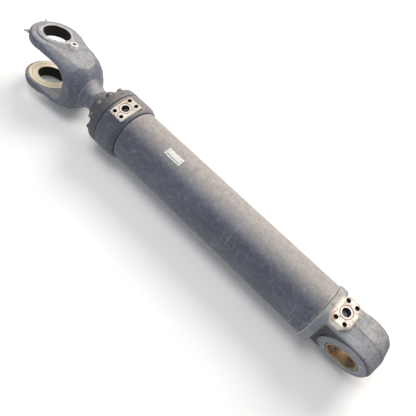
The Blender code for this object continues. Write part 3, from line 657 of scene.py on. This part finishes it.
def make_port(m, node, chamfer, rounded, border):
    lo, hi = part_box(node)
    centre_x = (lo.x + hi.x) / 2
    outline = port_outline(node, centre_x, chamfer, rounded)
    rim = border * 1.1
    levels = [(lo.z, 0.0), (hi.z - border, 0.0), (hi.z - border * 0.75, border * 0.15),
              (hi.z - border * 0.1, border * 0.8), (hi.z, rim), (hi.z, rim + 0.0016)]
    bm = bmesh.new()
    rings = [[bm.verts.new((u, v, z)) for u, v in shrunk(outline, inset, centre_x)] for z, inset in levels]
    for first, second in zip(rings, rings[1:]):
        for i in range(len(outline)):
            quad = bm.faces.new((first[i - 1], first[i], second[i], second[i - 1]))
            quad.material_index = int(second is rings[-1])
    bm.faces.new(rings[0])
    bm.faces.new(rings[-1])
    block = mesh_from(node + "_body", bm)
    block.materials.append(m["port"])
    block.materials.append(m["rust"])
    same = Matrix.Identity(4)
    bores = [rod("port_bore", (centre_x, 0, lo.z - 0.01), (centre_x, 0, hi.z + 0.01), PORT_BORE_R, same, 64)]
    floor, over = hi.z - 0.0012, hi.z + 0.002
    groove = [(floor, GROOVE_INNER), (over, GROOVE_INNER), (over, GROOVE_OUTER), (floor, GROOVE_OUTER)]
    bm = bmesh.new()
    loops = [[bm.verts.new((centre_x + r * math.cos(t * math.pi / 48), r * math.sin(t * math.pi / 48), z))
              for t in range(96)] for z, r in groove]
    for k in range(4):
        first, second = loops[k - 1], loops[k]
        for i in range(96):
            bm.faces.new((first[i - 1], first[i], second[i], second[i - 1]))
    bores.append(mesh_from("seal_groove", bm))
    for side_x in (-1, 1):
        for side_y in (-1, 1):
            x, y = centre_x + side_x * PORT_BOLT_X, side_y * PORT_BOLT_Y
            bores.append(rod("tapping", (x, y, hi.z - 0.014), (x, y, hi.z + 0.01), 0.0056, same, 40))
            mouth = rod("tapping_mouth", (x, y, hi.z - 0.0009), (x, y, hi.z + 0.01), 0.0064, same, 40)
            bores.append(mouth)
    # The port bore and tappings take the near-black hole steel: painted shade in them.
    for bore in bores:
        bore.materials.append(m["hole"])
    bores[1].materials.clear()
    bores[1].materials.append(m["rust"])
    land = rod("land", (centre_x, 0, hi.z - 0.0003), (centre_x, 0, hi.z + 0.01), 0.0163, same, 96)
    land.materials.append(m["bright"])
    bores.insert(0, land)
    mesh = resharpen(boolean(block, bores, "DIFFERENCE", "EXACT"), 30)
    piece(node + "_skin", mesh, m["port"], "barrel", [node])


def make_head(m):
    lo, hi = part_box("head_flange")
    start, end, outer = lo.x, hi.x, FLANGE_R
    port_lo, port_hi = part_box("port_block_head")
    profile = fillet([(start, BORE_R), (start, TUBE_R + 0.0024, 0.0006), (start + 0.0030, 0.0908, 0.003),
                      (start + 0.009, 0.0945, 0.004), (start + 0.017, 0.0970, 0.005),
                      (start + 0.026, outer, 0.005), (end, outer, 0.0009), (end, BORE_R)], 4)
    body = turned("head_flange_body", profile, 192)
    body.materials.append(m["flange"])
    centre_x = (port_lo.x + port_hi.x) / 2
    outline = port_outline("port_block_head", centre_x, 0.007, True)
    boss = extruded("port_boss", [(centre_x + (u - centre_x) * 1.075, v * 1.05) for u, v in outline],
                    AXIS_Z + 0.078, port_hi.z - 0.0042, Matrix.Identity(4))
    boss_item = loose(boss)
    bevel = boss_item.modifiers.new("bevel", "BEVEL")
    bevel.width = 0.0016
    bevel.segments = 3
    boss = baked(boss_item)
    seat = extruded("port_seat", outline, port_lo.z - CLEAR, 0.3, Matrix.Identity(4))
    body = boolean(body, [boss], "UNION")
    body = boolean(body, [seat], "DIFFERENCE")
    piece("head_flange_skin", resharpen(body, 32), m["flange"], "barrel", ["head_flange"])


def make_gland(m):
    lo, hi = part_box("gland")
    face = x_at(GLAND_FACE)
    start = x_at(GLAND_SEAM)
    slot = FLANGE_R - 0.0050
    outside = [(lo.x, 0.0697, 0.001), (start, 0.0697), (start, slot), (start + 0.0020, slot),
               (start + 0.0020, FLANGE_R, 0.0008),
               (face, FLANGE_R, 0.0065), (face, 0.0640, 0.006), (face + 0.010, 0.0575, 0.007),
               (hi.x, 0.0575, 0.004), (hi.x, 0.0500, 0.001), (x_at(1.008), 0.0500), (x_at(1.008), 0.0406),
               (lo.x, 0.0406)]
    mesh = turned("gland_body", fillet(outside, 6), 192)
    mesh.materials.append(m["gland"])
    holes = []
    for index in range(BOLT_COUNT):
        angle = bolt_angle(index)
        centre = Vector((0, BOLT_CIRCLE * math.sin(angle), BOLT_CIRCLE * math.cos(angle)))
        above = centre + Vector((face + 0.02, 0, 0))
        holes.append(rod("spot_face", centre + Vector((face - 0.0012, 0, 0)), above, 0.0122, AXIS, 40))
        holes.append(rod("clearance", centre + Vector((start - 0.01, 0, 0)), above, 0.0076, AXIS, 32))
    mesh = boolean(mesh, holes, "DIFFERENCE")
    piece("gland_skin", resharpen(mesh, 32), m["gland"], "barrel", ["gland"])


def bolt_angle(index):
    return BOLT_START + 2 * math.pi * index / BOLT_COUNT


def make_bolts(m):
    """Socket head screws with knurled heads, painted over."""
    head_r, head_h, shank = 0.0105, 0.014, 0.040
    profile = fillet([(-shank, 0.0, 0), (-shank, 0.0068, 0.001), (-0.0010, 0.0068), (-0.0010, head_r, 0.0004),
                      (head_h, head_r, 0.0014), (head_h, 0.0072, 0.0004), (head_h - 0.001, 0.0, 0)], 3)
    blank = turned("bolt_blank", profile, 48, Matrix.Identity(4))
    for vertex in blank.vertices:
        radial = math.hypot(vertex.co.y, vertex.co.z)
        if radial > head_r - 0.0001 and 0.001 < vertex.co.x < head_h - 0.0015:
            angle = math.atan2(vertex.co.y, vertex.co.z)
            push = 1.0 + 0.012 * math.cos(angle * 24)
            vertex.co.y *= push
            vertex.co.z *= push
    socket = rod("socket", (head_h - 0.007, 0, 0), (head_h + 0.01, 0, 0), 0.0069, Matrix.Identity(4), 6)
    mesh = resharpen(boolean(blank, [socket], "DIFFERENCE"), 30)
    face = x_at(GLAND_FACE)
    for index in range(BOLT_COUNT):
        copy = mesh.copy()
        angle = bolt_angle(index)
        centre = (face, BOLT_CIRCLE * math.sin(angle), AXIS_Z + BOLT_CIRCLE * math.cos(angle))
        copy.transform(Matrix.Translation(centre) @ Matrix.Rotation(index * 0.7, 4, "X"))
        name = f"gland_bolt_{index + 1:02d}"
        piece(name + "_skin", copy, m["bolt"], "barrel", [name])


def make_plate(m):
    """A plate with two end lines and six rules, one of them broad, on four domed rivets."""
    lo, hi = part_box("name_plate")
    first, last = math.radians(-8.0), math.radians(9.0)
    inner = TUBE_R + 0.0003
    thick = 0.0010

    def sheet(name, x0, x1, a0, a1, r0, r1, steps):
        bm = bmesh.new()
        rows = []
        for k in range(steps + 1):
            angle = a0 + (a1 - a0) * k / steps
            c, s = math.cos(angle), math.sin(angle)
            rows.append([bm.verts.new((x, r * s, AXIS_Z + r * c)) for x, r in
                         ((x0, r0), (x1, r0), (x1, r1), (x0, r1))])
        for a, b in zip(rows, rows[1:]):
            for i in range(4):
                bm.faces.new((a[i - 1], a[i], b[i], b[i - 1]))
        bm.faces.new(rows[0])
        bm.faces.new(rows[-1])
        return mesh_from(name, bm, 30)

    plate = sheet("name_plate_skin", lo.x, hi.x, first, last, inner, inner + thick, 16)
    piece("name_plate_skin", plate, m["plate"], "barrel", ["name_plate"])
    top = inner + thick
    wide, line = last - first, 0.0010
    margin_x, margin_a = 0.0030, math.radians(1.2)
    bars = [("plate_frame_low", lo.x + margin_x, lo.x + margin_x + line, first + margin_a, last - margin_a),
            ("plate_frame_high", hi.x - margin_x - line, hi.x - margin_x, first + margin_a, last - margin_a)]
    for k in range(6):
        middle = first + margin_a + (wide - 2 * margin_a) * k / 5
        half = 0.016 if k == 4 else 0.005
        bars.append((f"plate_rule_{k + 1}", lo.x + margin_x, hi.x - margin_x, middle - half, middle + half))
    for name, x0, x1, a0, a1 in bars:
        bar = sheet(name, x0, x1, a0, a1, top - 0.0001, top + 0.00015, 10)
        piece(name, bar, m["dark"], "barrel")
    dome = fillet([(top - 0.001, 0.0), (top - 0.001, 0.0022), (top + 0.0010, 0.0022, 0.0012),
                   (top + 0.0016, 0.0)], 5)
    for index in range(4):
        name = f"plate_rivet_{index + 1}"
        rivet_lo, rivet_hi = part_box(name)
        centre = (rivet_lo + rivet_hi) / 2
        out = Vector((0, centre.y, centre.z - AXIS_Z)).normalized()
        turn = Matrix((out, Vector((1, 0, 0)).cross(out) * -1, Vector((1, 0, 0)))).transposed().to_4x4()
        mesh = turned("rivet", dome, 24, Matrix.Translation((centre.x, 0, AXIS_Z)) @ turn)
        piece(name + "_skin", mesh, m["steel"], "barrel", [name])


# Base cap ---------------------------------------------------------------------------


def drafted_block(name, sections, ends):
    bm = bmesh.new()
    loops = []
    for y, extra in sections:
        corners = [(x, y, half + extra) for x, half in ends]
        corners += [(x, y, -z) for x, y, z in reversed(corners)]
        loops.append([bm.verts.new(c) for c in corners])
    bm.faces.new(loops[0])
    bm.faces.new(loops[-1])
    for first, second in zip(loops, loops[1:]):
        for i in range(4):
            bm.faces.new((first[i - 1], first[i], second[i], second[i - 1]))
    return mesh_from(name, bm)


def make_base(m):
    """The base forging: eye, web and ring run together, then the machined faces are cut."""
    at_pin = Matrix.Translation((BASE_X, 0, AXIS_Z))
    eye_r, half, edge, draft = 0.080, 0.052, 0.005, 0.006
    eye = [(-half, 0.0), (-half, eye_r - edge), (edge - half, eye_r), (0.0, eye_r + draft),
           (half - edge, eye_r), (half, eye_r - edge), (half, 0.0)]
    rough = turned("base_cap_rough", eye, 128, at_pin, "Y")
    sections = [(-half, -edge), (edge - half, 0.0), (0.0, draft), (half - edge, 0.0), (half, -edge)]
    web = drafted_block("web", sections, ((0.0, eye_r), (0.098, eye_r - 0.0025)))
    web.transform(at_pin)
    ring_lo, ring_hi = x_at(0.093), x_at(0.120)
    ring = turned("ring", [(ring_lo, 0.0), (ring_lo, RING_R - 0.003), (ring_lo + 0.003, RING_R),
                           (ring_hi, RING_R), (ring_hi, 0.0)], 160)
    rough = boolean(rough, [web, ring], "UNION", "EXACT")
    body = melted(rough, 0.0018, 9)
    body = roughen(body, 0.00035, 0.00016)
    body.materials.append(m["base"])
    tools = []
    boss_r = 0.073
    for side in (-1, 1):
        collar = fillet([(side * (half - 0.004), 0.050), (side * (half - 0.004), boss_r),
                         (side * 0.057, boss_r, 0.0016), (side * 0.057, boss_r - 0.006, 0.0004),
                         (side * 0.0563, boss_r - 0.0068, 0.0004), (side * 0.0568, boss_r - 0.0085, 0.0004),
                         (side * 0.0568, 0.050)], 3)
        tools.append(turned("boss", collar, 160, at_pin, "Y"))
    for tool in tools:
        tool.materials.append(m["base"])
    body = boolean(body, tools, "UNION", "EXACT")
    cuts = [turned("bore", [(-0.07, 0.0), (-0.07, 0.0475), (0.07, 0.0475), (0.07, 0.0)], 160, at_pin, "Y")]
    cap_cut = turned("front", [(ring_hi, 0.0), (ring_hi, 0.12),
                               (ring_hi + 0.03, 0.12), (ring_hi + 0.03, 0.0)], 96)
    hollow_lo, hollow_hi = x_at(0.1), x_at(0.14)
    hollow = turned("hollow", [(hollow_lo, 0.0), (hollow_lo, BORE_R),
                               (hollow_hi, BORE_R), (hollow_hi, 0.0)], 96)
    port_lo, port_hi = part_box("port_block_base")
    centre_x = (port_lo.x + port_hi.x) / 2
    outline = port_outline("port_block_base", centre_x, 0.018, False)
    seat = extruded("seat", outline, port_lo.z - CLEAR, 0.3, Matrix.Identity(4))
    body = boolean(body, cuts + [cap_cut, hollow, seat], "DIFFERENCE")
    piece("base_cap_skin", resharpen(body, 34), m["base"], "barrel", ["base_cap"])


def make_base_bushing(m):
    at_pin = Matrix.Translation((BASE_X, 0, AXIS_Z))
    inner, outer = 0.0427, 0.0472
    half = (high("base_bushing").y - low("base_bushing").y) / 2
    profile = fillet([(-half, inner + 0.0006), (-half, outer), (half, outer), (half, inner + 0.0006),
                      (half - 0.0015, inner, 0.0006), (0.0030, inner, 0.0008),
                      (0.0020, inner + 0.0012, 0.0008), (-0.0020, inner + 0.0012, 0.0008),
                      (-0.0030, inner, 0.0008),
                      (0.0015 - half, inner, 0.0006)], 3)
    mesh = turned("base_bushing_skin", profile, 160, at_pin, "Y")
    piece("base_bushing_skin", mesh, m["bronze"], "barrel", ["base_bushing"])


# Rod and fork -----------------------------------------------------------------------

EAR_INNER, EAR_OUTER = 0.0595, 0.0972
WEB_INNER, WEB_OUTER = 0.0615, 0.0930
EAR_R, EAR_ROUND = 0.082, 0.014
PIN_R = 0.0427
PAD_R = 0.0595
LOCK_X, LOCK_Z = -(PIN_TO_PIN - 1.192), -0.003
SIDE_NIPPLE_ANGLE = math.radians(-12.0)
TIP_NIPPLE_ANGLE = math.radians(48)


def make_rod(m):
    lo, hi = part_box("piston_rod")
    profile = fillet([(lo.x, 0.0), (lo.x, 0.030, 0.002), (x_at(0.215), 0.030), (x_at(0.215), 0.040, 0.001),
                      (hi.x, 0.040, 0.0004), (hi.x, 0.0)], 4)
    mesh = turned("piston_rod_skin", profile, 160)
    piece("piston_rod_skin", mesh, m["chrome"], "rod", ["piston_rod"])


def ear(name, side):
    rim = EAR_R - 0.0004
    outline = [(WEB_INNER, 0.0), (WEB_INNER, rim - 0.004), (WEB_INNER + 0.004, rim)]
    outline += [(a, r) for r, a in arc((rim - EAR_ROUND, WEB_OUTER - EAR_ROUND), EAR_ROUND, 0, 90, 10)]
    outline += [(WEB_OUTER, 0.0)]
    return turned(name, [(side * a, r) for a, r in outline], 128, FORK, "Y")


def teardrop(centre_x, small, big, steps=48):
    """The outline of a big circle at the pin joined by tangents to a small circle at centre_x."""
    reach = abs(centre_x)
    lean = math.acos((big - small) / reach)
    wide = [math.pi - lean - (2 * math.pi - 2 * lean) * k / steps for k in range(steps + 1)]
    narrow = [math.pi + lean - 2 * lean * k / 16 for k in range(17)]
    outline = [(big * math.cos(a), big * math.sin(a)) for a in wide]
    outline += [(centre_x + small * math.cos(a), small * math.sin(a)) for a in narrow]
    return outline


def side_nipple():
    """Where the side grease nipple is seated, in the fork's frame, and the way that it points."""
    rim = Vector((math.cos(SIDE_NIPPLE_ANGLE), 0, math.sin(SIDE_NIPPLE_ANGLE)))
    out = (rim + Vector((0, -1, 0))).normalized()
    middle = Vector((0, -(WEB_OUTER - EAR_ROUND), 0)) + rim * (EAR_R - EAR_ROUND)
    return middle + out * (EAR_ROUND - 0.009), out


def make_fork(m):
    """The fork forging: a rounded yoke with two eyes, then pads, rings and bores."""
    pin = PIN_TO_PIN
    neck_x, reach = 1.040 - pin, 1.245 - pin
    floor, corner = 1.136 - pin, 0.044
    side = [(neck_x, 0.060), (1.110 - pin, 0.078), (1.140 - pin, 0.088), (1.170 - pin, WEB_OUTER),
            (reach, WEB_OUTER), (reach, WEB_INNER)]
    side += arc((floor + corner, WEB_INNER - corner), corner, 90, 180, 12)
    side += [(x, -y) for x, y in reversed(side)]
    yoke = extruded("yoke", side, -0.12, 0.12, FORK)
    half = [(neck_x, 0.0700), (1.130 - pin, 0.0720), (1.175 - pin, 0.0740), (1.210 - pin, 0.0745),
            (reach + 0.01, 0.0775)]
    width = half + [(x, -z) for x, z in reversed(half)]
    flat = extruded("yoke_width", width, -0.12, 0.12, FORK, "Y")
    neck = [(neck_x, 0.0), (neck_x, 0.0395), (1.058 - pin, 0.0400), (1.072 - pin, 0.0450),
            (1.085 - pin, 0.0535), (1.102 - pin, 0.0705), (1.120 - pin, 0.0865), (1.142 - pin, 0.0975),
            (1.170 - pin, 0.1040),
            (1.210 - pin, 0.1075), (1.235 - pin, 0.1140), (1.270 - pin, 0.1260), (1.270 - pin, 0.0)]
    trim = turned("yoke_neck", neck, 160, FORK)
    body = boolean(yoke, [flat, trim], "INTERSECT", "EXACT")
    tail = LOCK_X
    swell = extruded("pad_tail", teardrop(tail, 0.0175, 0.0600), -WEB_OUTER - 0.0030, -0.085, FORK, "Y")
    body = boolean(body, [ear("ear_up", -1), ear("ear_down", 1), swell], "UNION", "EXACT")
    body = melted(body, 0.0017, 8)
    body = roughen(body, 0.0004, 0.00014)
    body.materials.append(m["cast"])
    pads = []
    for sign in (-1, 1):
        outline = [(PAD_R * math.cos(k * math.pi / 48), PAD_R * math.sin(k * math.pi / 48))
                   for k in range(96)]
        ends = sorted((sign * (WEB_OUTER - 0.004), sign * EAR_OUTER))
        pad = loose(extruded("pad", outline, ends[0], ends[1], FORK, "Y"))
        bevel = pad.modifiers.new("bevel", "BEVEL")
        bevel.width = 0.0012
        bevel.segments = 3
        bevel.limit_method = "ANGLE"
        mesh = baked(pad)
        mesh.materials.append(m["cast"])
        pads.append(mesh)
        ring = fillet([(sign * (WEB_INNER + 0.004), 0.035), (sign * (WEB_INNER + 0.004), 0.0715),
                       (sign * EAR_INNER, 0.0715, 0.0008), (sign * EAR_INNER, 0.035)], 3)
        mesh = turned("ring", ring, 160, FORK, "Y")
        mesh.materials.append(m["ring"])
        pads.append(mesh)
    body = boolean(body, pads, "UNION", "EXACT")
    bore = turned("bore", fillet([(-0.12, 0.0), (-0.12, PIN_R), (0.12, PIN_R), (0.12, 0.0)]), 160, FORK, "Y")
    bore.materials.append(m["ring"])
    # The lock seat and the nipple pocket are near-black: painted shade, with a painted contact shadow around the
    # sleeve's foot.
    seat = rod("lock_seat", (tail, -WEB_OUTER + 0.010, LOCK_Z), (tail, -0.12, LOCK_Z), 0.0127, FORK, 48)
    seat.materials.append(m["hole"])
    nipple, out = side_nipple()
    pocket = rod("nipple_pocket", nipple, nipple + out * 0.03, 0.0085, FORK, 40)
    pocket.materials.append(m["hole"])
    body = boolean(body, [seat, pocket, bore], "DIFFERENCE", "EXACT")
    piece("clevis_skin", resharpen(body, 34), m["cast"], "rod", ["clevis"])


def make_pin_lock(m):
    centre = Vector((LOCK_X, 0, LOCK_Z))
    top, foot = -0.1090, -WEB_OUTER + 0.0103
    bore_r = 0.0052
    profile = fillet([(foot, bore_r), (foot, 0.0123), (top, 0.0123, 0.0010), (top, bore_r, 0.0006)], 4)
    mesh = turned("pin_lock_sleeve_skin", profile, 64, Matrix.Identity(4), "Y")
    mesh.materials.append(m["bright"])
    mesh.materials.append(m["hole"])
    # The sleeve's inner wall takes the near-black hole steel: painted shade in its hole.
    for face in mesh.polygons:
        face.material_index = int(math.hypot(face.center.x, face.center.z) < bore_r + 0.0003)
    mesh.transform(FORK @ Matrix.Translation(centre))
    piece("pin_lock_sleeve_skin", mesh, m["bright"], "rod", ["pin_lock_sleeve"])


def make_nipples(m):
    """Grease nipples: a hexagon, a waist and a ball head."""
    stem = fillet([(-0.007, 0.0), (-0.007, 0.0030), (0.0003, 0.0030), (0.0003, 0.0045),
                   (0.0052, 0.0045, 0.0008), (0.0058, 0.0034, 0.0005), (0.0098, 0.0030, 0.0008),
                   (0.0112, 0.0019, 0.0006),
                   (0.0125, 0.0030, 0.0006), (0.0144, 0.0028, 0.0008), (0.0155, 0.0010), (0.0152, 0.0)], 4)
    rim = Vector((math.cos(TIP_NIPPLE_ANGLE), 0, math.sin(TIP_NIPPLE_ANGLE)))
    tip = Vector((0, -0.0775, 0)) + rim * (EAR_R - 0.0002)
    for name, (seat, out) in (("clevis_nipple_tip", (tip, rim)), ("clevis_nipple_side", side_nipple())):
        place = FORK @ Matrix.Translation(seat) @ out.to_track_quat("X", "Z").to_matrix().to_4x4()
        mesh = turned(name, stem, 32, place)
        nut = rod("nipple_hexagon", (0.0003, 0, 0), (0.0045, 0, 0), 0.0055, place, 6)
        mesh = resharpen(boolean(mesh, [nut], "UNION", "EXACT"), 30)
        piece(name + "_skin", mesh, m["zinc"], "rod", [name])


# Inner pieces keep their CAD shape and take a material -------------------------------

INNER = {
    "steel": ("piston_nut", "nut_lock_screw", "cushion_sleeve"),
    "iron": ("piston",),
    "bronze": ("rod_guide_bush",),
    "rubber": ("rod_u_cup", "rod_wiper", "gland_o_ring", "piston_o_ring"),
    "plastic": ("rod_buffer_seal", "gland_backup_ring", "piston_wear_ring_rear", "piston_seal",
                "piston_wear_ring_front"),
}


def dress_inner(m):
    for key, names in INNER.items():
        for name in names:
            slots = frame["nodes"][name].material_slots
            for slot in slots:
                slot.material = m[key]


def main():
    add_camera()
    add_light_and_floor()
    m = make_materials()
    make_tube(m)
    make_head(m)
    make_port(m, "port_block_head", 0.007, True, 0.0025)
    make_gland(m)
    make_bolts(m)
    make_plate(m)
    make_base(m)
    make_port(m, "port_block_base", 0.018, False, 0.0030)
    make_base_bushing(m)
    make_rod(m)
    make_fork(m)
    make_pin_lock(m)
    make_nipples(m)
    dress_inner(m)


main()
